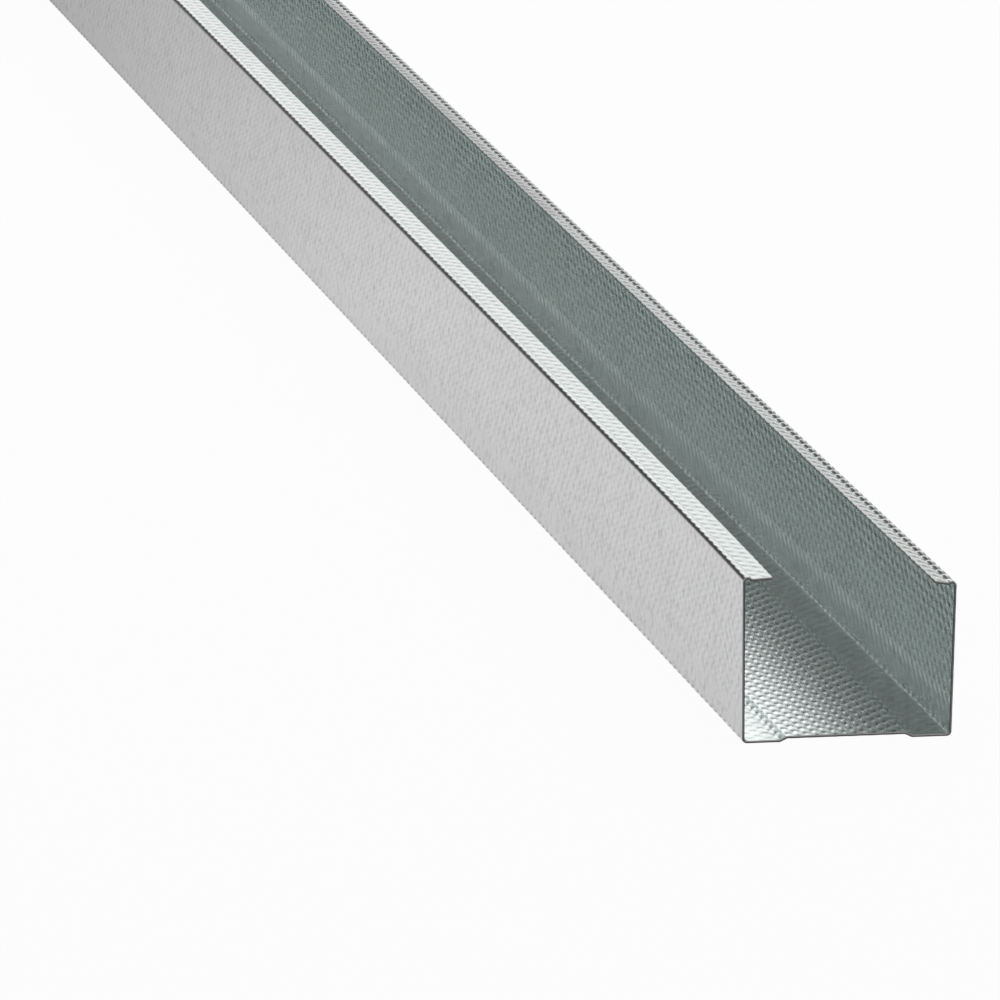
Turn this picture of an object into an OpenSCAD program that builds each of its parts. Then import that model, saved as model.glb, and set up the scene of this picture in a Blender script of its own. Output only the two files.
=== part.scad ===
// Lipped channel stud for a plasterboard wall, roll-formed from one strip of galvanised sheet.
// It lies on its web along Y, with its open side up. The origin is on the web's back, midway.

/* [Stud] */
// Length between the two cut ends
stud_length = 2400; // [300:100:6000]
// Width over the web, from one board face to the other
web_width = 46.5; // [40:0.5:150]
// Height of the tall flange, over its crown
tall_flange = 36.9; // [25:0.1:60]
// Height of the short flange, over its crown
short_flange = 34.4; // [25:0.1:60]
// Thickness of the sheet
sheet = 0.55; // [0.4:0.05:1.2]
// Inner radius of the bends between the web and the flanges
foot_radius = 0.55; // [0.3:0.05:3]

/* [Web] */
// Width of the low strip beside the tall flange
tall_strip = 8.2; // [5:0.1:14]
// Width of the low strip beside the short flange
short_strip = 8.5; // [5:0.1:14]
// Height of the web's raised middle above the low strips
web_rise = 0.75; // [0.4:0.05:3]
// Slope of the step between a strip and the raised middle
step_slope = 25; // [15:1:60]
// Inner radius of the two bends in a step
step_radius = 0.6; // [0.3:0.05:2]

/* [Crowns] */
// Inner radius of the crown bend at the top of a flange
crown_radius = 0.55; // [0.3:0.05:1.2]
// Angle that the tall flange's crown is bent past square
tall_overbend = 35; // [5:1:45]
// Angle that the short flange's crown is bent past square
short_overbend = 20; // [5:1:45]
// Straight run that falls from the crown towards the lip
crown_fall = 0.35; // [0.1:0.05:1]
// Inner radius of the bend that turns the fall into the lip
lip_radius = 0.4; // [0.2:0.05:1]

/* [Lips] */
// Width of the lip on the tall flange, from the flange's outer face
tall_lip = 6.5; // [4.5:0.1:12]
// Width of the lip on the short flange, from the flange's outer face
short_lip = 4.9; // [4.5:0.1:12]
// Slope at which the tall flange's lip rises towards its edge
tall_lift = 3; // [0:1:15]
// Slope at which the short flange's lip rises towards its edge
short_lift = 8; // [0:1:15]

/* [Hidden] */

// A bend is drawn in facets of at most this many degrees
bend_facet = 10;

// Radii of the bends, taken at the middle of the sheet
half_sheet = sheet / 2;
foot_bend = foot_radius + half_sheet;
crown_bend = crown_radius + half_sheet;
lip_bend = lip_radius + half_sheet;
// The step's two bends together climb no more than the rise
step_bend = min(step_radius + half_sheet, web_rise / (2 * (1 - cos(step_slope))));

// Straight part of a step, and the width of the whole step
step_run = (web_rise - 2 * step_bend * (1 - cos(step_slope))) / sin(step_slope);
step_width = 2 * step_bend * sin(step_slope) + step_run * cos(step_slope);

// Straight part of a lip, from what the crown leaves of the lip's width
function lip_run(lip, overbend, lift) =
    (lip - half_sheet * (1 + sin(lift))
        - crown_bend * (1 + sin(overbend))
        - crown_fall * cos(overbend)
        - lip_bend * (sin(overbend) + sin(lift))) / cos(lift);

// Half of the section from the middle of the web out to a lip's edge.
// Each move is a straight run, then a bend to the left of so many degrees, and its radius.
function half_moves(strip, flange, overbend, lip, lift) = [
    [web_width / 2 - strip - step_width, -step_slope, step_bend],
    [step_run, step_slope, step_bend],
    [strip - foot_bend - half_sheet, 90, foot_bend],
    [flange - foot_bend - crown_bend - sheet, 90, crown_bend],
    [0, overbend, crown_bend],
    [crown_fall, -overbend - lift, lip_bend],
    [lip_run(lip, overbend, lift), 0, 0],
];

// A station is a point of the sheet's middle line with the heading of the line there
function ahead(at, run) = [at.x + run * cos(at.z), at.y + run * sin(at.z), at.z];
function bent(at, angle, radius) = [
    at.x + sign(angle) * radius * (sin(at.z + angle) - sin(at.z)),
    at.y + sign(angle) * radius * (cos(at.z) - cos(at.z + angle)),
    at.z + angle
];

// Stations at the end of each straight run and along each bend
function stations(at, moves, i = 0) =
    i == len(moves) ? [] :
    let (
        run = moves[i][0],
        angle = moves[i][1],
        radius = moves[i][2],
        start = ahead(at, run),
        facets = ceil(abs(angle) / bend_facet)
    )
    concat(
        run > 0 ? [start] : [],
        [for (k = [1:1:facets]) bent(start, angle * k / facets, radius)],
        stations(bent(start, angle, radius), moves, i + 1)
    );

// Point of the sheet's surface beside a station, on the left for a positive distance
function beside(at, distance) = [at.x - distance * sin(at.z), at.y + distance * cos(at.z)];

web_middle = [0, web_rise + half_sheet, 0];
short_side = stations(web_middle, half_moves(short_strip, short_flange, short_overbend,
                                             short_lip, short_lift));
tall_side = stations(web_middle, half_moves(tall_strip, tall_flange, tall_overbend,
                                            tall_lip, tall_lift));

// Middle line of the whole section, from the tall flange's lip to the short flange's lip.
// The tall side is the mirror image of a half section, walked from its lip to the web.
middle_line = concat(
    [for (i = [len(tall_side) - 1:-1:0]) [-tall_side[i].x, tall_side[i].y, -tall_side[i].z]],
    short_side
);

module section() {
    last = len(middle_line) - 1;
    polygon(concat(
        [for (at = middle_line) beside(at, -half_sheet)],
        [for (i = [last:-1:0]) beside(middle_line[i], half_sheet)]
    ));
}

// The strip of sheet, bent to the section and cut square at both ends
module stud() {
    color("silver")
    translate([0, stud_length / 2, 0])
    rotate([90, 0, 0])
    linear_extrude(height = stud_length)
    section();
}

stud();
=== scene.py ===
"""Dress a drywall stud as embossed, hot-dip galvanised sheet, on a pale studio floor."""

import math
from collections import namedtuple

import bpy
from bpy.props import FloatProperty, FloatVectorProperty, PointerProperty
from mathutils import Matrix, Vector


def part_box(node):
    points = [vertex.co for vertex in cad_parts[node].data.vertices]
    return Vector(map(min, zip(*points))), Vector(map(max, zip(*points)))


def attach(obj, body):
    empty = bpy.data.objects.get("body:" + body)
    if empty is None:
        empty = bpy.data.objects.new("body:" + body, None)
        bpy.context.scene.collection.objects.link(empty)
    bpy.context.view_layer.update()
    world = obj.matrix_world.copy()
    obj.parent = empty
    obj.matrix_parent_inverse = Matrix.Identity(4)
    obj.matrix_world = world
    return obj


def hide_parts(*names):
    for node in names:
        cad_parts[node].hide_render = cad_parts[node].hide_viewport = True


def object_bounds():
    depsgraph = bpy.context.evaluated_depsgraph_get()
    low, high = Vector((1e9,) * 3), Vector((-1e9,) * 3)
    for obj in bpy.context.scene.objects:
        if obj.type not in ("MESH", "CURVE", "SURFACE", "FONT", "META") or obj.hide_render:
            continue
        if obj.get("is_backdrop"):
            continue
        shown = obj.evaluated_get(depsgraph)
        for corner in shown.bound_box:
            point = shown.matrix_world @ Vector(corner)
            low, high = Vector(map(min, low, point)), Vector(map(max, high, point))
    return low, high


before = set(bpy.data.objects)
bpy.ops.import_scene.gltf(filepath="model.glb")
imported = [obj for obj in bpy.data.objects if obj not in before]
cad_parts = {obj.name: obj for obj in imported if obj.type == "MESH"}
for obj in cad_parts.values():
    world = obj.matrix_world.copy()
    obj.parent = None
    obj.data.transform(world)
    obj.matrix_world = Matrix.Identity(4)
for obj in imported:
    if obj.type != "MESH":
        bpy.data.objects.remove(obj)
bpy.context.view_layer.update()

bl_info = {
    "name": "Drywall stud",
    "version": (1, 0, 0),
    "blender": (4, 5, 0),
    "location": "View3D > Sidebar > Stud",
    "description": "Builds an embossed galvanised drywall stud and the studio that it is lit in",
    "category": "Object",
}

MM = 0.001
LOW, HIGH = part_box("stud")
ALONG = Vector((0.0, 1.0, 0.0))

# The dimples: the wave's phase at a cut end, how much narrower a column is than the gap between
# two, the share of the depth that the shears take at a cut end, and how fast that fades in a pitch
CUT_PHASE = -1.4
NARROWNESS = 3.0
FLATTENED = 0.75
FLATTENED_FADE = 2.5

# The mesh: the turn of one facet of a bend, the angle from which an edge stays sharp, the distance
# under which points are merged, the rows of a piece without dimples, and how many samples to a
# dimple the finest pieces have
FINE_FACET = math.radians(15)
COARSE_FACET = math.radians(30)
SHARP_EDGE = math.radians(50)
MERGED = 0.001 * MM
PLAIN_ROWS = 90
FINE_SAMPLES = 8

# Painted shade that darkens the outside of a flange: degrees from the web to the darkest place,
# degrees over which that dies away, its strength, degrees to where the lip begins and its own
# share
CrownShade = namedtuple("CrownShade", "darkest reach strength lip_from lip_share")
TALL_CROWN_SHADE = CrownShade(132, 38, 1.0, 160, 0.42)
SHORT_CROWN_SHADE = CrownShade(135, 40, 1.6, 150, 0.25)

# The zinc coat: the sizes of its patterns, the roughness of a plain strip and of embossed sheet,
# the share of the dimples' depth from which sheet counts as embossed, and what the grain and a
# torn edge add to the roughness
CLOUD_SIZE = 22.22 * MM
GRAIN_WIDTH = 0.4545 * MM
GRAIN_LENGTH = 3.846 * MM
FLECK_SIZE = 2.381 * MM
STRIP_ROUGHNESS = 0.12
EMBOSSED_ROUGHNESS = 0.22
EMBOSSED_FROM = 0.6
GRAIN_ROUGHNESS = 0.1
TORN_ROUGHNESS = 0.3

# The studio: softboxes with their place, aim, width, height and power in watts, the floor's tint
# and glow as the metal mirrors them, the stretch along the stud where that glow fades, the share
# of the floor's look that is glow, and the strength of the room's own light
SOFTBOXES = (
    ("overhead_softbox", (0.6, 0.4, 2.6), (0.0, 0.0, 0.0), 2.5, 3.5, 36),
    ("back_softbox", (1.9, 4.3, 2.3), (0.0, -1.0, 0.0), 5.2, 4.5, 92),
)
WHITE = (1.0, 1.0, 1.0)
FLOOR_TONE = (1.0, 0.93, 0.95)
FLOOR_GLOW_NEAR = 1.0
FLOOR_GLOW_FAR = 0.52
FLOOR_FADE_FROM = -0.75
FLOOR_FADE_TO = -0.2
FLOOR_WHITE_SEEN = 0.96
FLOOR_WHITE_MIRRORED = 0.68
ROOM_STRENGTH = 0.21


def linear(hex_colour):
    """Turn an sRGB hex colour into linear red, green and blue."""
    values = [int(hex_colour[i:i + 2], 16) / 255 for i in (1, 3, 5)]
    return tuple(v / 12.92 if v <= 0.04045 else ((v + 0.055) / 1.055) ** 2.4 for v in values)


def length_property(name, description, millimetres):
    """A length in metres, given in millimetres."""
    return FloatProperty(
        name=name, description=description, default=millimetres * MM,
        unit="LENGTH", subtype="DISTANCE", precision=5,
    )


def angle_property(name, description, degrees):
    """An angle, given in degrees."""
    return FloatProperty(
        name=name, description=description, default=math.radians(degrees),
        unit="ROTATION", subtype="ANGLE",
    )


def share_property(name, description, share):
    """A share of a whole, which may be more than one."""
    return FloatProperty(name=name, description=description, default=share, min=0.0)


def colour_property(name, description, hex_colour):
    """A colour, given as sRGB hex."""
    return FloatVectorProperty(
        name=name, description=description, default=linear(hex_colour),
        subtype="COLOR", min=0.0, max=1.0,
    )


class StudSection(bpy.types.PropertyGroup):
    """Sizes of the bent strip, seen at its cut end."""

    web_width: length_property(
        "Web width", "From one board face to the other", (HIGH.x - LOW.x) / MM)
    tall_flange: length_property("Tall flange", "Height over the crown", (HIGH.z - LOW.z) / MM)
    short_flange: length_property("Short flange", "Height over the crown", 34.4)
    sheet: length_property("Sheet", "Thickness of the sheet", 0.55)
    foot_radius: length_property("Foot radius", "Inner radius between web and flange", 0.55)
    tall_strip: length_property("Tall strip", "Low strip of the web by the tall flange", 8.2)
    short_strip: length_property("Short strip", "Low strip of the web by the short flange", 8.5)
    web_rise: length_property("Web rise", "Height of the web's middle above its strips", 0.75)
    step_slope: angle_property("Step slope", "Slope between a strip and the web's middle", 25)
    step_radius: length_property("Step radius", "Inner radius of the bends in a step", 0.6)
    crown_radius: length_property("Crown radius", "Inner radius at the top of a flange", 0.55)
    tall_overbend: angle_property("Tall overbend", "Bend of the tall crown past square", 35)
    short_overbend: angle_property("Short overbend", "Bend of the short crown past square", 20)
    crown_fall: length_property("Crown fall", "Straight run from a crown down to its lip", 0.35)
    lip_radius: length_property("Lip radius", "Inner radius of the bend into a lip", 0.4)
    tall_lip: length_property("Tall lip", "Width of the lip on the tall flange", 6.5)
    short_lip: length_property("Short lip", "Width of the lip on the short flange", 4.9)
    tall_lift: angle_property("Tall lift", "Rise of the tall flange's lip", 3)
    short_lift: angle_property("Short lift", "Rise of the short flange's lip", 8)


class StudRelief(bpy.types.PropertyGroup):
    """Sizes of the dimples that the embossing rolls press into the strip.

    The depths in the other parts of the section are shares of the depth in the web's middle.
    """

    spacing: length_property("Spacing", "From one column of dimples to the next", 2.12)
    pitch: length_property("Pitch", "From one dimple to the next along a column", 4.25)
    depth: length_property("Depth", "Height of a dimple above the flat sheet", 0.13)
    skew: share_property("Skew", "How much faster a dimple falls than it rises", 0.3)
    slant: FloatProperty(
        name="Slant", description="How far a dimple's crest lies aslant, in radians of the wave",
        default=-1.1, soft_min=-2.0, soft_max=2.0,
    )
    in_feet: share_property("In feet", "Depth in the web's corners and steps", 0.7)
    in_strips: share_property("In strips", "Depth in the web's low strips", 0.2)
    plain_foot: length_property("Plain foot", "Height of a flange as smooth as a low strip", 7.6)
    in_tall_wall: share_property("In tall flange", "Depth in the tall flange", 0.33)
    in_short_wall: share_property("In short flange", "Depth in the short flange", 0.8)
    in_tall_crown: share_property("In tall crown", "Depth in the tall flange's crown", 0.3)
    in_short_crown: share_property("In short crown", "Depth in the short flange's crown", 2.2)
    in_tall_lip: share_property("In tall lip", "Depth in the tall flange's lip", 0.7)
    in_short_lip: share_property("In short lip", "Depth in the short flange's lip", 1.8)
    tall_flare: length_property("Tall flare", "Spring of the tall flange at a cut end", 0.75)
    short_flare: length_property("Short flare", "Spring of the short flange at a cut end", 0.2)
    flare_reach: length_property("Flare reach", "Distance over which the spring dies away", 45)


class StudFinish(bpy.types.PropertyGroup):
    """Colours of the zinc coat, with a painted highlight and painted shade among them."""

    zinc: colour_property("Zinc", "Skin-passed zinc coat", "#DFE8E6")
    # Painted highlight on the tops of the dimples
    painted_highlight: colour_property("Polished", "Tops of the dimples", "#EEF3F2")
    # The flecks' colour, and painted shade in the hollows between the dimples
    flecks_and_painted_shade: colour_property("Hollows", "Hollows between the dimples, and flecks", "#7F8988")
    zinc_dull: colour_property("Dull zinc", "Zinc where the grain lies the other way", "#C0C9C7")
    # Painted shade on the outside of the crowns and lips
    crown_shade_colour: colour_property("Burnish", "Outside of the crowns, where the rolls rub", "#686663")
    # Cut steel's dull tone, mostly on a flange, and painted shade on the half of a flat's cut that
    # faces down
    cut_dull_and_shade: colour_property("Cut wall", "Sheared edge of a flange, torn and dull", "#5C5F5F")
    # Painted light on the half of a flat's cut that faces up
    cut_painted_light: colour_property("Cut flat", "Sheared edge of the web and the lips", "#B4B4B2")
    # Darkest tone of a sheared edge, on the inner part of a flange's cut
    cut_inner: colour_property("Cut burr", "Inner part of a sheared edge", "#3E4243")


class StudStage(bpy.types.PropertyGroup):
    """The studio round the stud."""

    azimuth: angle_property("Azimuth", "Direction of the camera from the stud's axis", -12.79)
    elevation: angle_property("Elevation", "Height of the camera above the floor", 13.55)
    roll: angle_property("Roll", "Turn of the camera about its own axis", 1.17)
    distance: FloatProperty(
        name="Distance", description="From the camera to the aim point",
        default=2.665, unit="LENGTH", subtype="DISTANCE",
    )
    lens: FloatProperty(
        name="Lens", description="Focal length in millimetres", default=423.6, unit="CAMERA",
    )
    aim_across: length_property("Aim across", "Aim point from the web's middle", -43.1)
    aim_along: length_property("Aim along", "Aim point from the near end", 152.3)
    aim_height: length_property("Aim height", "Aim point above the floor", 18)
    floor_size: FloatProperty(
        name="Floor size", description="Side of the square floor",
        default=80.0, unit="LENGTH", subtype="DISTANCE",
    )
    floor_colour: colour_property("Floor colour", "Pale matt floor", "#F6F6F4")


def add_node(tree, kind, inputs=None, **settings):
    """Add a node to a tree, with its settings, and with a value or a link in each input."""
    node = tree.nodes.new(kind)
    for name, value in settings.items():
        setattr(node, name, value)
    for place, value in (inputs or {}).items():
        if isinstance(value, bpy.types.NodeSocket):
            tree.links.new(value, node.inputs[place])
        else:
            node.inputs[place].default_value = value
    return node


def calculate(tree, operation, *values):
    """Add a maths node to a tree and give its result."""
    inputs = dict(enumerate(values))
    return add_node(tree, "ShaderNodeMath", inputs, operation=operation).outputs[0]


def dimple_wave(tree, across, along, spacing, pitch, skew, slant):
    """Height of the dimples as a share of their depth, and its slope each way, in any node tree.

    Every other column is shifted by half a pitch and leans the other way. The columns are
    narrower than the gaps between them, along a column the wave rises and falls at different
    speeds, and its crests lie aslant. The sheet is cut close to where the wave crosses the
    middle, so a cut edge is nearly straight.
    """
    turn_across = calculate(tree, "DIVIDE", math.pi, spacing)
    turn_along = calculate(tree, "DIVIDE", math.tau, pitch)
    phase_across = calculate(tree, "MULTIPLY", across, turn_across)
    side = calculate(tree, "SINE", phase_across)
    wave = calculate(tree, "COSINE", phase_across)
    even = calculate(tree, "MULTIPLY_ADD", wave, 0.5, 0.5)
    odd = calculate(tree, "SUBTRACT", 1.0, even)
    heights, leans, rises = [], [], []
    for share, shift, way in ((even, CUT_PHASE, 1.0), (odd, math.pi + CUT_PHASE, -1.0)):
        aslant = calculate(tree, "MULTIPLY", slant, way)
        start = calculate(tree, "MULTIPLY_ADD", side, aslant, shift)
        phase = calculate(tree, "MULTIPLY_ADD", along, turn_along, start)
        late = calculate(tree, "MULTIPLY", calculate(tree, "COSINE", phase), skew)
        skewed = calculate(tree, "SUBTRACT", phase, late)
        top = calculate(tree, "COSINE", skewed)
        slowed = calculate(tree, "MULTIPLY", calculate(tree, "SINE", phase), skew)
        speed = calculate(tree, "ADD", slowed, 1.0)
        narrow = calculate(tree, "POWER", share, NARROWNESS)
        less_narrow = calculate(tree, "POWER", share, NARROWNESS - 1.0)
        fall = calculate(tree, "MULTIPLY", calculate(tree, "SINE", skewed), speed)
        rise = calculate(tree, "MULTIPLY", calculate(tree, "MULTIPLY", narrow, fall), -1.0)
        flank = calculate(tree, "MULTIPLY", calculate(tree, "MULTIPLY", less_narrow, top), side)
        shear = calculate(tree, "MULTIPLY", calculate(tree, "MULTIPLY", rise, wave), aslant)
        heights.append(calculate(tree, "MULTIPLY", narrow, top))
        leans.append(calculate(tree, "MULTIPLY_ADD", flank, -0.5 * NARROWNESS * way, shear))
        rises.append(rise)
    height = calculate(tree, "ADD", *heights)
    slope_across = calculate(tree, "MULTIPLY", calculate(tree, "ADD", *leans), turn_across)
    slope_along = calculate(tree, "MULTIPLY", calculate(tree, "ADD", *rises), turn_along)
    return height, slope_across, slope_along


# A place on the walk along the middle of the sheet: where it is, which way the sheet runs there,
# the distance walked from the middle of the web, and the share of the dimples' depth
Place = namedtuple("Place", "x z heading walked relief")


def ahead(place, run, relief):
    """Walk straight on."""
    return Place(
        place.x + run * math.cos(place.heading),
        place.z + run * math.sin(place.heading),
        place.heading,
        place.walked + run,
        relief,
    )


def bent(place, angle, radius, relief):
    """Walk round a bend, to the left for a positive angle."""
    side = math.copysign(radius, angle)
    turned = place.heading + angle
    return Place(
        place.x + side * (math.sin(turned) - math.sin(place.heading)),
        place.z + side * (math.cos(place.heading) - math.cos(turned)),
        turned,
        place.walked + radius * abs(angle),
        relief,
    )


def half_moves(section, relief, strip, flange, overbend, lip, lift, in_wall, in_crown, in_lip):
    """Straight runs and bends from the web's middle to a lip.

    Each is a run, the angle and radius of the bend after it, and the share of the dimples'
    depth in the run and in the bend.
    """
    half = section.sheet / 2
    foot = section.foot_radius + half
    crown = section.crown_radius + half
    turn = section.lip_radius + half
    slope = section.step_slope
    step = min(section.step_radius + half, section.web_rise / (2 * (1 - math.cos(slope))))
    climb = (section.web_rise - 2 * step * (1 - math.cos(slope))) / math.sin(slope)
    step_width = 2 * step * math.sin(slope) + climb * math.cos(slope)
    over = math.sin(overbend)
    lip_run = (
        lip - half * (1 + math.sin(lift)) - crown * (1 + over)
        - section.crown_fall * math.cos(overbend) - turn * (over + math.sin(lift))
    ) / math.cos(lift)
    feet, strips = relief.in_feet, relief.in_strips
    return [
        (section.web_width / 2 - strip - step_width, -slope, step, 1.0, feet),
        (climb, slope, step, feet, feet),
        (strip - foot - half, math.pi / 2, foot, strips, feet),
        (relief.plain_foot, 0.0, 0.0, strips, strips),
        (flange - foot - crown - section.sheet - relief.plain_foot,
         math.pi / 2 + overbend, crown, in_wall, in_crown),
        (section.crown_fall, -overbend - lift, turn, in_crown, in_lip),
        (lip_run, 0.0, 0.0, in_lip, in_lip),
    ]


def half_walk(section, moves, grid, facet):
    """Places along half of the section: on a grid along the runs, and round the bends."""
    place = Place(0.0, section.web_rise + section.sheet / 2, 0.0, 0.0, 1.0)
    places = [place]
    for run, angle, radius, in_run, in_bend in moves:
        # Lines of the grid that lie at least half a step from both ends of the run
        first = math.floor(place.walked / grid + 0.5) + 1
        last = math.ceil((place.walked + run) / grid - 0.5) - 1
        places += [ahead(place, i * grid - place.walked, in_run) for i in range(first, last + 1)]
        place = ahead(place, run, in_bend)
        places.append(place)
        facets = math.ceil(abs(angle) / facet)
        places += [bent(place, angle * i / facets, radius, in_bend) for i in range(1, facets + 1)]
        place = bent(place, angle, radius, in_bend)
    return places


def spring(at, section, relief):
    """How far a flange springs outwards at a cut end, from nothing at its foot."""
    if at.x < 0:
        return -relief.tall_flare * at.z / section.tall_flange
    return relief.short_flare * at.z / section.short_flange


def painted_crown_shade(at):
    """How dark the painted shade on the outside is: most round a crown, some on a lip."""
    shade_band = TALL_CROWN_SHADE if at.x < 0 else SHORT_CROWN_SHADE
    turned = math.degrees(abs(at.heading))
    on_crown = min(1.0, shade_band.strength - abs(turned - shade_band.darkest) / shade_band.reach)
    on_lip = shade_band.lip_share if turned > shade_band.lip_from else 0.0
    return max(on_crown, on_lip)


def section_points(section, relief, grid, facet):
    """An object with one point for each place of the section, from the tall lip to the short."""
    tall = half_walk(section, half_moves(
        section, relief, section.tall_strip, section.tall_flange,
        section.tall_overbend, section.tall_lip, section.tall_lift,
        relief.in_tall_wall, relief.in_tall_crown, relief.in_tall_lip), grid, facet)
    short = half_walk(section, half_moves(
        section, relief, section.short_strip, section.short_flange,
        section.short_overbend, section.short_lip, section.short_lift,
        relief.in_short_wall, relief.in_short_crown, relief.in_short_lip), grid, facet)
    mirrored = [
        Place(-at.x, at.z, -at.heading, -at.walked, at.relief) for at in reversed(tall[1:])]
    places = mirrored + short
    mesh = bpy.data.meshes.new("section")
    mesh.from_pydata([(at.x, 0.0, at.z) for at in places], [], [])
    for name, values in (
        ("across", [at.walked for at in places]),
        ("relief", [at.relief for at in places]),
        ("flare", [spring(at, section, relief) for at in places]),
        ("painted_crown_shade", [painted_crown_shade(at) for at in places]),
    ):
        mesh.attributes.new(name, "FLOAT", "POINT").data.foreach_set("value", values)
    facing = [(-math.sin(at.heading), 0.0, math.cos(at.heading)) for at in places]
    mesh.attributes.new("facing", "FLOAT_VECTOR", "POINT").data.foreach_set(
        "vector", [part for vector in facing for part in vector])
    holder = bpy.data.objects.new("section", mesh)
    bpy.context.scene.collection.objects.link(holder)
    return holder


def attribute(tree, name, kind):
    """The field of a stored attribute."""
    return add_node(tree, "GeometryNodeInputNamedAttribute", {"Name": name},
                    data_type=kind).outputs[0]


def store(tree, geometry, name, kind, value, domain="POINT", selection=True):
    """Store a field as an attribute."""
    return add_node(tree, "GeometryNodeStoreNamedAttribute", {
        "Geometry": geometry, "Name": name, "Value": value, "Selection": selection},
        data_type=kind, domain=domain).outputs[0]


def vector_node(tree, operation, *values, **named):
    """Add a vector maths node to a tree and give its result."""
    return add_node(tree, "ShaderNodeVectorMath", {**dict(enumerate(values)), **named},
                    operation=operation).outputs[0]


def sheet_tree():
    """Geometry Nodes that repeat the section in rows, emboss them and give them a thickness."""
    tree = bpy.data.node_groups.new("Embossed sheet", "GeometryNodeTree")
    face = tree.interface
    face.new_socket("Geometry", in_out="INPUT", socket_type="NodeSocketGeometry")
    face.new_socket("Rows", in_out="INPUT", socket_type="NodeSocketInt")
    for name in ("Row Spacing", "First Row", "Near End", "Far End", "Flare Reach", "Sheet",
                 "Dimple Depth", "Dimple Spacing", "Dimple Pitch", "Dimple Skew", "Dimple Slant",
                 "Plain"):
        face.new_socket(name, in_out="INPUT", socket_type="NodeSocketFloat")
    face.new_socket("Material", in_out="INPUT", socket_type="NodeSocketMaterial")
    face.new_socket("Geometry", in_out="OUTPUT", socket_type="NodeSocketGeometry")

    given = add_node(tree, "NodeGroupInput").outputs
    points = given["Geometry"]

    # A flat grid with one column for each point of the section
    count = add_node(tree, "GeometryNodeAttributeDomainSize", {0: points}, component="MESH")
    grid = add_node(tree, "GeometryNodeMeshGrid", {
        "Vertices X": count.outputs["Point Count"], "Vertices Y": given["Rows"]})
    index = add_node(tree, "GeometryNodeInputIndex").outputs[0]
    column = add_node(tree, "FunctionNodeIntegerMath", {0: index, 1: given["Rows"]},
                      operation="DIVIDE_FLOOR").outputs[0]
    row = add_node(tree, "FunctionNodeIntegerMath", {0: index, 1: given["Rows"]},
                   operation="MODULO").outputs[0]

    # What the section holds at this column
    sampled = {}
    for name, kind in (
        ("place", "FLOAT_VECTOR"),
        ("facing", "FLOAT_VECTOR"),
        ("across", "FLOAT"),
        ("relief", "FLOAT"),
        ("flare", "FLOAT"),
        ("painted_crown_shade", "FLOAT"),
    ):
        if name == "place":
            value = add_node(tree, "GeometryNodeInputPosition").outputs[0]
        else:
            value = attribute(tree, name, kind)
        sampled[name] = add_node(tree, "GeometryNodeSampleIndex", {
            "Geometry": points, "Value": value, "Index": column}, data_type=kind).outputs[0]

    # Distance along the stud, and the spring of the flanges towards the nearer cut end
    along = calculate(tree, "MULTIPLY_ADD", row, given["Row Spacing"], given["First Row"])
    from_near = calculate(tree, "SUBTRACT", along, given["Near End"])
    from_far = calculate(tree, "SUBTRACT", given["Far End"], along)
    from_end = calculate(tree, "MINIMUM", from_near, from_far)
    reaches = calculate(tree, "DIVIDE", from_end, given["Flare Reach"])
    fading = calculate(tree, "EXPONENT", calculate(tree, "MULTIPLY", reaches, -1.0))
    sprung = calculate(tree, "MULTIPLY", sampled["flare"], fading)

    # Dimples, flatter by a cut end, and the way that their slopes lean the normal
    wave, slope_across, slope_along = dimple_wave(
        tree, sampled["across"], from_near,
        given["Dimple Spacing"], given["Dimple Pitch"], given["Dimple Skew"],
        given["Dimple Slant"])
    depth = calculate(tree, "MULTIPLY", given["Dimple Depth"], sampled["relief"])
    depth = calculate(tree, "MULTIPLY", depth, calculate(tree, "SUBTRACT", 1.0, given["Plain"]))
    pitches = calculate(tree, "DIVIDE", from_end, given["Dimple Pitch"])
    pressed = calculate(tree, "MULTIPLY", pitches, -FLATTENED_FADE)
    pressed = calculate(tree, "EXPONENT", pressed)
    kept = calculate(tree, "MULTIPLY_ADD", pressed, -FLATTENED, 1.0)
    depth = calculate(tree, "MULTIPLY", depth, kept)
    height = calculate(tree, "MULTIPLY", wave, depth)
    tangent = vector_node(tree, "CROSS_PRODUCT", ALONG, sampled["facing"])
    leaning = vector_node(
        tree, "SCALE", tangent, Scale=calculate(tree, "MULTIPLY", slope_across, depth))
    leaning = vector_node(tree, "SUBTRACT", sampled["facing"], leaning)
    steeper = vector_node(
        tree, "SCALE", ALONG, Scale=calculate(tree, "MULTIPLY", slope_along, depth))
    lean = vector_node(tree, "NORMALIZE", vector_node(tree, "SUBTRACT", leaning, steeper))

    # The lower face of the sheet
    half_sheet = calculate(tree, "MULTIPLY", given["Sheet"], -0.5)
    off_middle = vector_node(
        tree, "SCALE", sampled["facing"], Scale=calculate(tree, "ADD", height, half_sheet))
    shift = add_node(tree, "ShaderNodeCombineXYZ", {"X": sprung, "Y": along}).outputs[0]
    moved = vector_node(tree, "ADD", vector_node(tree, "ADD", sampled["place"], off_middle), shift)
    flat = grid.outputs["Mesh"]
    for name, kind, value in (
        ("across", "FLOAT", sampled["across"]),
        ("relief", "FLOAT", sampled["relief"]),
        ("painted_crown_shade", "FLOAT", sampled["painted_crown_shade"]),
        ("facing", "FLOAT_VECTOR", sampled["facing"]),
        ("lean", "FLOAT_VECTOR", lean),
        ("plain", "FLOAT", given["Plain"]),
        ("through", "FLOAT", 0.0),
    ):
        flat = store(tree, flat, name, kind, value)
    lower = add_node(tree, "GeometryNodeSetPosition", {
        "Geometry": flat, "Position": moved}).outputs[0]

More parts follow.
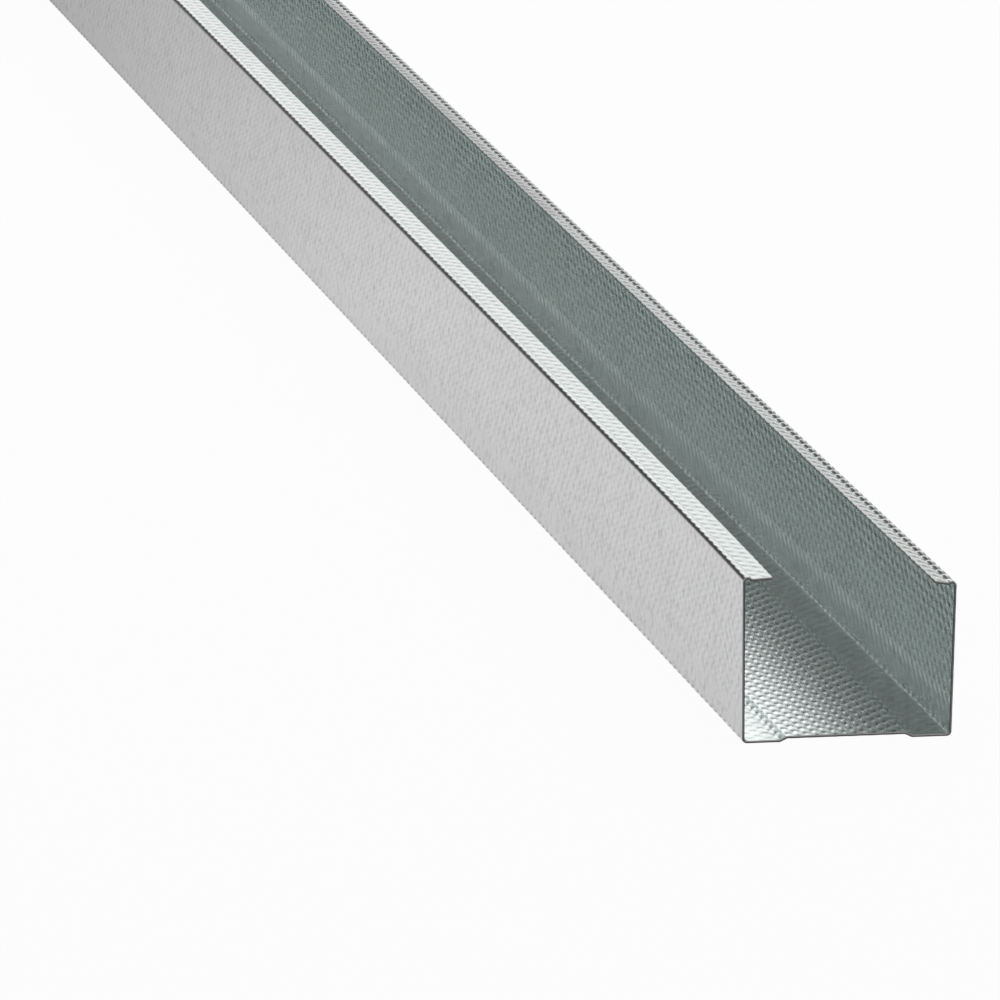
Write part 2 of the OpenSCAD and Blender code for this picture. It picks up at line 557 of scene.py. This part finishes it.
    # The upper face and the edges, grown out of the lower face
    grown = add_node(tree, "GeometryNodeExtrudeMesh", {
        "Mesh": lower, "Offset Scale": 0.0, "Individual": False}, mode="FACES").outputs
    through = vector_node(
        tree, "SCALE", attribute(tree, "facing", "FLOAT_VECTOR"), Scale=given["Sheet"])
    upper = add_node(tree, "GeometryNodeSetPosition", {
        "Geometry": grown["Mesh"], "Selection": grown["Top"], "Offset": through}).outputs[0]
    upper = store(tree, upper, "through", "FLOAT", 1.0, selection=grown["Top"])
    upper = store(tree, upper, "cut_edge", "BOOLEAN", grown["Side"], domain="FACE")
    turned = add_node(tree, "GeometryNodeFlipFaces", {"Mesh": lower}).outputs[0]
    solid = add_node(tree, "GeometryNodeJoinGeometry")
    for part in (upper, turned):
        tree.links.new(part, solid.inputs[0])
    solid = add_node(tree, "GeometryNodeMergeByDistance", {
        "Geometry": solid.outputs[0], "Distance": MERGED}).outputs[0]

    # Exact normals on both faces, flat ones on the edges, and sharp corners between them
    true_normal = add_node(tree, "GeometryNodeInputNormal").outputs["True Normal"]
    square = add_node(tree, "GeometryNodeFieldOnDomain", {0: true_normal},
                      data_type="FLOAT_VECTOR", domain="FACE").outputs[0]
    leans = attribute(tree, "lean", "FLOAT_VECTOR")
    agree = add_node(tree, "ShaderNodeVectorMath", {0: leans, 1: square},
                     operation="DOT_PRODUCT").outputs["Value"]
    outward = vector_node(tree, "SCALE", leans, Scale=calculate(tree, "SIGN", agree))
    chosen = add_node(tree, "GeometryNodeSwitch", {
        "Switch": attribute(tree, "cut_edge", "BOOLEAN"), "False": outward, "True": square},
        input_type="VECTOR").outputs[0]
    corner = add_node(tree, "GeometryNodeInputMeshEdgeAngle").outputs["Unsigned Angle"]
    sharp = add_node(tree, "FunctionNodeCompare", {"A": corner, "B": SHARP_EDGE},
                     data_type="FLOAT", operation="GREATER_THAN").outputs[0]
    solid = add_node(tree, "GeometryNodeSetShadeSmooth", {"Geometry": solid}).outputs[0]
    solid = add_node(tree, "GeometryNodeSetShadeSmooth", {
        "Geometry": solid, "Selection": sharp, "Shade Smooth": False}, domain="EDGE").outputs[0]
    solid = add_node(tree, "GeometryNodeSetMeshNormal", {"Mesh": solid, "Custom Normal": chosen},
                     mode="FREE", domain="CORNER").outputs[0]

    real = add_node(tree, "GeometryNodeRealizeInstances", {"Geometry": solid}).outputs[0]
    done = add_node(tree, "GeometryNodeSetMaterial", {
        "Geometry": real, "Material": given["Material"]}).outputs[0]
    add_node(tree, "NodeGroupOutput", {0: done})
    return tree


def made_by_nodes(holder, tree, inputs, name):
    """Run a node tree on an object and keep the result as a plain mesh object."""
    modifier = holder.modifiers.new("Embossed sheet", "NODES")
    modifier.node_group = tree
    for item in tree.interface.items_tree:
        if item.in_out == "INPUT" and item.name in inputs:
            modifier[item.identifier] = inputs[item.name]
    depsgraph = bpy.context.evaluated_depsgraph_get()
    mesh = bpy.data.meshes.new_from_object(holder.evaluated_get(depsgraph))
    bpy.data.objects.remove(holder)
    mesh.name = name
    made = bpy.data.objects.new(name, mesh)
    bpy.context.scene.collection.objects.link(made)
    return made


def stored(tree, name, output="Fac"):
    """An attribute of the mesh, in a material."""
    return add_node(tree, "ShaderNodeAttribute", attribute_name=name).outputs[output]


def blended(tree, factor, first, second):
    """Blend two colours, each an RGB constant or a socket."""
    node = add_node(tree, "ShaderNodeMix", {"Factor": factor}, data_type="RGBA")
    for place, colour in (("A", first), ("B", second)):
        socket = next(s for s in node.inputs if s.name == place and s.type == "RGBA")
        if isinstance(colour, bpy.types.NodeSocket):
            tree.links.new(colour, socket)
        else:
            socket.default_value = (*colour, 1.0)
    return next(s for s in node.outputs if s.type == "RGBA")


def galvanised_sheet(finish, relief, pitch):
    """Hot-dip galvanised steel, skin-passed and then embossed between rolls.

    The zinc gives a pale, slightly green grey that mirrors softly, with a grain along the
    rolling. The rolls leave it smoothest on the plain strips, and the dimples carry a painted
    highlight on their tops and painted shade in their hollows.
    """
    material = bpy.data.materials.new("galvanised_sheet")
    material.use_nodes = True
    tree = material.node_tree
    tree.nodes.clear()
    place = add_node(tree, "ShaderNodeTexCoord").outputs["Object"]
    along = add_node(tree, "ShaderNodeSeparateXYZ", {0: place}).outputs["Y"]
    across = stored(tree, "across")
    through = stored(tree, "through")
    embossing = stored(tree, "relief")

    # Clouding of the coat, and a grain of streaks along the rolling. Real streaks are about a
    # tenth of a millimetre wide, and these are drawn coarser so that they show
    cloud = add_node(tree, "ShaderNodeTexNoise", {
        "Vector": place, "Scale": 1 / CLOUD_SIZE, "Detail": 3.0, "Roughness": 0.55}).outputs["Fac"]
    rolled = add_node(tree, "ShaderNodeCombineXYZ", {"X": across, "Y": along}).outputs[0]
    rolled = vector_node(tree, "MULTIPLY", rolled, (1 / GRAIN_WIDTH, 1 / GRAIN_LENGTH, 1.0))
    grain = add_node(tree, "ShaderNodeTexNoise", {
        "Vector": rolled, "Scale": 1.0, "Detail": 2.0, "Roughness": 0.6}).outputs["Fac"]
    dull = calculate(tree, "MULTIPLY_ADD", grain, 0.5, calculate(tree, "MULTIPLY", cloud, 0.5))
    zinc = blended(tree, dull, finish.zinc, finish.zinc_dull)

    # Flecks where the coat froze unevenly
    flecks = add_node(tree, "ShaderNodeTexNoise", {
        "Vector": place, "Scale": 1 / FLECK_SIZE, "Detail": 3.0, "Roughness": 0.65}).outputs["Fac"]
    flecks = add_node(tree, "ShaderNodeMapRange", {
        "Value": flecks, "From Min": 0.5, "From Max": 0.75, "To Max": 0.55}).outputs[0]
    zinc = blended(tree, flecks, zinc, finish.flecks_and_painted_shade)

    # Painted highlight on the tops of the dimples and painted shade in their hollows
    wave = dimple_wave(tree, across, calculate(tree, "SUBTRACT", along, LOW.y),
                       relief.spacing, pitch, relief.skew, relief.slant)[0]
    side = calculate(tree, "MULTIPLY_ADD", through, 2.0, -1.0)
    raised = calculate(tree, "MULTIPLY", wave, side)
    embossed = calculate(tree, "MULTIPLY", raised, embossing)
    highlight_mask = add_node(tree, "ShaderNodeMapRange", {
        "Value": embossed, "From Min": 0.1, "From Max": 0.7}).outputs[0]
    # Painted shade: the hollows between the dimples are darkened
    shade_mask = add_node(tree, "ShaderNodeMapRange", {
        "Value": embossed, "From Min": -0.1, "From Max": -0.9}).outputs[0]
    zinc = blended(tree, highlight_mask, zinc, finish.painted_highlight)
    zinc = blended(tree, shade_mask, zinc, finish.flecks_and_painted_shade)

    # Painted shade: the outside of the crowns and lips is darkened
    outside = calculate(tree, "SUBTRACT", 1.0, through)
    painted_crown_shade = calculate(tree, "MULTIPLY", stored(tree, "painted_crown_shade"), outside)
    zinc = blended(tree, painted_crown_shade, zinc, finish.crown_shade_colour)

    # Sheared ends: torn and dull. Painted light on the upper half of a flat's cut and painted
    # shade on its lower half, and darkest on the inner part of a flange's cut
    normal = add_node(tree, "ShaderNodeNewGeometry").outputs["True Normal"]
    normal = calculate(tree, "ABSOLUTE", add_node(
        tree, "ShaderNodeSeparateXYZ", {0: normal}).outputs["Y"])
    end = calculate(tree, "MULTIPLY", calculate(tree, "GREATER_THAN", normal, 0.7),
                    stored(tree, "cut_edge"))
    level = add_node(
        tree, "ShaderNodeSeparateXYZ", {0: stored(tree, "facing", "Vector")}).outputs["Z"]
    # Painted light: the half of a flat's cut that faces up takes the light tone, the half that
    # faces down takes the dark one as painted shade
    upper = add_node(tree, "ShaderNodeMapRange", {
        "Value": calculate(tree, "MULTIPLY", side, level),
        "From Min": -0.1, "From Max": 0.2}).outputs[0]
    cut = blended(tree, upper, finish.cut_dull_and_shade, finish.cut_painted_light)
    # Darkest on the inner part of a flange's cut
    upright = calculate(tree, "SUBTRACT", 1.0, calculate(tree, "ABSOLUTE", level))
    inner_part = calculate(tree, "MULTIPLY", calculate(tree, "GREATER_THAN", through, 0.65), upright)
    cut = blended(tree, inner_part, cut, finish.cut_inner)
    colour = blended(tree, end, zinc, cut)

    # Smoothest where the rolls hardly emboss the sheet, and roughest where it is torn
    smooth = add_node(tree, "ShaderNodeMapRange", {
        "Value": embossing, "From Min": relief.in_strips, "From Max": EMBOSSED_FROM,
        "To Min": STRIP_ROUGHNESS, "To Max": EMBOSSED_ROUGHNESS}).outputs[0]
    roughness = calculate(tree, "MULTIPLY_ADD", grain, GRAIN_ROUGHNESS, smooth)
    roughness = calculate(tree, "MULTIPLY_ADD", end, TORN_ROUGHNESS, roughness)

    # Dimples where the mesh leaves them out
    depth = calculate(tree, "MULTIPLY", stored(tree, "plain"), relief.depth)
    height = calculate(tree, "MULTIPLY", embossed, depth)
    bump = add_node(tree, "ShaderNodeBump", {"Height": height, "Distance": 1.0, "Strength": 1.0})

    shader = add_node(tree, "ShaderNodeBsdfPrincipled", {
        "Base Color": colour, "Metallic": 1.0, "Roughness": roughness,
        "Normal": bump.outputs[0]})
    add_node(tree, "ShaderNodeOutputMaterial", {"Surface": shader.outputs[0]})
    return material


class STUD_OT_embossed_sheet(bpy.types.Operator):
    """Build the stud's embossed sheet, finest at the near end and plain at the far end"""

    bl_idname = "stud.embossed_sheet"
    bl_label = "Embossed sheet"

    def execute(self, context):
        scene = context.scene
        section, relief = scene.stud_section, scene.stud_relief
        pitches = round((HIGH.y - LOW.y) / relief.pitch)
        pitch = (HIGH.y - LOW.y) / pitches
        zinc = galvanised_sheet(scene.stud_finish, relief, pitch)
        tree = sheet_tree()
        # Name, first and last dimple, and samples to a dimple, where 0 leaves the piece plain
        lengths = [
            ("stud_near_end", 0, 23, FINE_SAMPLES),
            ("stud_near_length", 23, 46, FINE_SAMPLES),
            ("stud_middle_near", 46, 88, 6),
            ("stud_middle", 88, 172, 4),
            ("stud_middle_far", 172, 240, 4),
            ("stud_far_length", 240, pitches, 0),
        ]
        for name, start, end, samples in lengths:
            rows = (end - start) * samples or PLAIN_ROWS
            spacing = (end - start) * pitch / rows
            # A grid as wide as the stud is long adds no point between the bends
            grid = 2 * relief.spacing / samples if samples else HIGH.y - LOW.y
            facet = FINE_FACET if samples == FINE_SAMPLES else COARSE_FACET
            piece = made_by_nodes(section_points(section, relief, grid, facet), tree, {
                "Rows": rows + 1,
                "Row Spacing": spacing,
                "First Row": LOW.y + start * pitch,
                "Near End": LOW.y,
                "Far End": HIGH.y,
                "Flare Reach": relief.flare_reach,
                "Sheet": section.sheet,
                "Dimple Depth": relief.depth,
                "Dimple Spacing": relief.spacing,
                "Dimple Pitch": pitch,
                "Dimple Skew": relief.skew,
                "Dimple Slant": relief.slant,
                "Plain": 0.0 if samples else 1.0,
                "Material": zinc,
            }, name)
            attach(piece, "root")
            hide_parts("stud")
        return {"FINISHED"}


def pale_floor(stage):
    """Pale matt floor with a soft shadow, white to the camera and clear from below.

    Mirrored in the metal, it is white by the near end and dims towards the far end.
    """
    material = bpy.data.materials.new("pale_floor")
    material.use_nodes = True
    tree = material.node_tree
    tree.nodes.clear()
    matt = add_node(tree, "ShaderNodeBsdfDiffuse", {"Color": (*stage.floor_colour, 1.0)})
    path = add_node(tree, "ShaderNodeLightPath").outputs
    along = add_node(tree, "ShaderNodeSeparateXYZ", {
        0: add_node(tree, "ShaderNodeTexCoord").outputs["Object"]}).outputs["Y"]
    faded = add_node(tree, "ShaderNodeMapRange", {
        "Value": along, "From Min": FLOOR_FADE_FROM, "From Max": FLOOR_FADE_TO,
        "To Min": FLOOR_GLOW_NEAR, "To Max": FLOOR_GLOW_FAR}).outputs[0]
    glow = calculate(tree, "MAXIMUM", faded, path["Is Camera Ray"])
    tone = blended(tree, path["Is Camera Ray"], FLOOR_TONE, WHITE)
    white = add_node(tree, "ShaderNodeEmission", {"Color": tone, "Strength": glow})
    seen = calculate(tree, "MULTIPLY", path["Is Camera Ray"], FLOOR_WHITE_SEEN)
    mirrored = calculate(tree, "MULTIPLY", path["Is Glossy Ray"], FLOOR_WHITE_MIRRORED)
    share = calculate(tree, "MAXIMUM", seen, mirrored)
    mixed = add_node(tree, "ShaderNodeMixShader", {
        0: share, 1: matt.outputs[0], 2: white.outputs[0]})
    below = add_node(tree, "ShaderNodeNewGeometry").outputs["Backfacing"]
    clear = add_node(tree, "ShaderNodeBsdfTransparent")
    sided = add_node(tree, "ShaderNodeMixShader", {
        0: below, 1: mixed.outputs[0], 2: clear.outputs[0]})
    add_node(tree, "ShaderNodeOutputMaterial", {"Surface": sided.outputs[0]})
    return material


def studio_world():
    """Dim grey room round the floor, and white where the camera sees it."""
    world = bpy.data.worlds.new("studio")
    world.use_nodes = True
    tree = world.node_tree
    tree.nodes.clear()
    seen = add_node(tree, "ShaderNodeLightPath").outputs["Is Camera Ray"]
    soft = add_node(tree, "ShaderNodeBackground", {
        "Color": (*WHITE, 1.0), "Strength": ROOM_STRENGTH})
    shown = add_node(tree, "ShaderNodeBackground", {
        "Color": (*WHITE, 1.0), "Strength": 1.0})
    mixed = add_node(tree, "ShaderNodeMixShader", {
        0: seen, 1: soft.outputs[0], 2: shown.outputs[0]})
    add_node(tree, "ShaderNodeOutputWorld", {"Surface": mixed.outputs[0]})
    return world


def softbox(name, place, aim, width, height, power):
    """Rectangular area lamp that faces its aim point."""
    lamp = bpy.data.lights.new(name, "AREA")
    lamp.shape = "RECTANGLE"
    lamp.size = width
    lamp.size_y = height
    lamp.energy = power
    holder = bpy.data.objects.new(name, lamp)
    holder.location = place
    holder.rotation_euler = (Vector(aim) - Vector(place)).to_track_quat("-Z", "Y").to_euler()
    bpy.context.scene.collection.objects.link(holder)


class STUD_OT_stage(bpy.types.Operator):
    """Build the floor, the lamps, the world and the camera"""

    bl_idname = "stud.stage"
    bl_label = "Stage"

    def execute(self, context):
        scene = context.scene
        stage = scene.stud_stage
        floor_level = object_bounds()[0].z
        half = stage.floor_size / 2
        mesh = bpy.data.meshes.new("floor")
        corners = [(-half, -half), (half, -half), (half, half), (-half, half)]
        mesh.from_pydata([(x, y, floor_level) for x, y in corners], [], [(0, 1, 2, 3)])
        mesh.materials.append(pale_floor(stage))
        floor = bpy.data.objects.new("floor", mesh)
        scene.collection.objects.link(floor)
        floor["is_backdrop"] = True

        scene.world = studio_world()
        for name, place, aim, width, height, power in SOFTBOXES:
            softbox(name, place, aim, width, height, power)

        camera = bpy.data.cameras.new("camera")
        camera.lens = stage.lens
        camera.clip_start = 0.05
        camera.clip_end = 100.0
        holder = bpy.data.objects.new("camera", camera)
        aim = Vector((stage.aim_across, LOW.y + stage.aim_along, LOW.z + stage.aim_height))
        back = Vector((
            math.sin(stage.azimuth) * math.cos(stage.elevation),
            -math.cos(stage.azimuth) * math.cos(stage.elevation),
            math.sin(stage.elevation),
        ))
        level = back.to_track_quat("Z", "Y").to_matrix()
        turned = level @ Matrix.Rotation(stage.roll, 3, "Z")
        holder.matrix_world = Matrix.Translation(aim + back * stage.distance) @ turned.to_4x4()
        scene.collection.objects.link(holder)
        scene.camera = holder
        scene.view_settings.view_transform = "Standard"
        return {"FINISHED"}


class STUD_PT_panel(bpy.types.Panel):
    """List the stud's steps and sizes in the sidebar"""

    bl_idname = "STUD_PT_panel"
    bl_label = "Drywall stud"
    bl_space_type = "VIEW_3D"
    bl_region_type = "UI"
    bl_category = "Stud"

    def draw(self, context):
        scene = context.scene
        for kind, group in (
            ("stud.embossed_sheet", scene.stud_section),
            ("stud.embossed_sheet", scene.stud_relief),
            ("stud.embossed_sheet", scene.stud_finish),
            ("stud.stage", scene.stud_stage),
        ):
            box = self.layout.box()
            box.operator(kind)
            for name in group.__annotations__:
                box.prop(group, name)


GROUPS = {
    "stud_section": StudSection,
    "stud_relief": StudRelief,
    "stud_finish": StudFinish,
    "stud_stage": StudStage,
}
CLASSES = [*GROUPS.values(), STUD_OT_embossed_sheet, STUD_OT_stage, STUD_PT_panel]


def register():
    for kind in CLASSES:
        bpy.utils.register_class(kind)
    for name, kind in GROUPS.items():
        setattr(bpy.types.Scene, name, PointerProperty(type=kind))


def unregister():
    for name in GROUPS:
        delattr(bpy.types.Scene, name)
    for kind in reversed(CLASSES):
        bpy.utils.unregister_class(kind)


def main():
    register()
    bpy.ops.stud.embossed_sheet()
    bpy.ops.stud.stage()


if __name__ == "__main__":
    main()
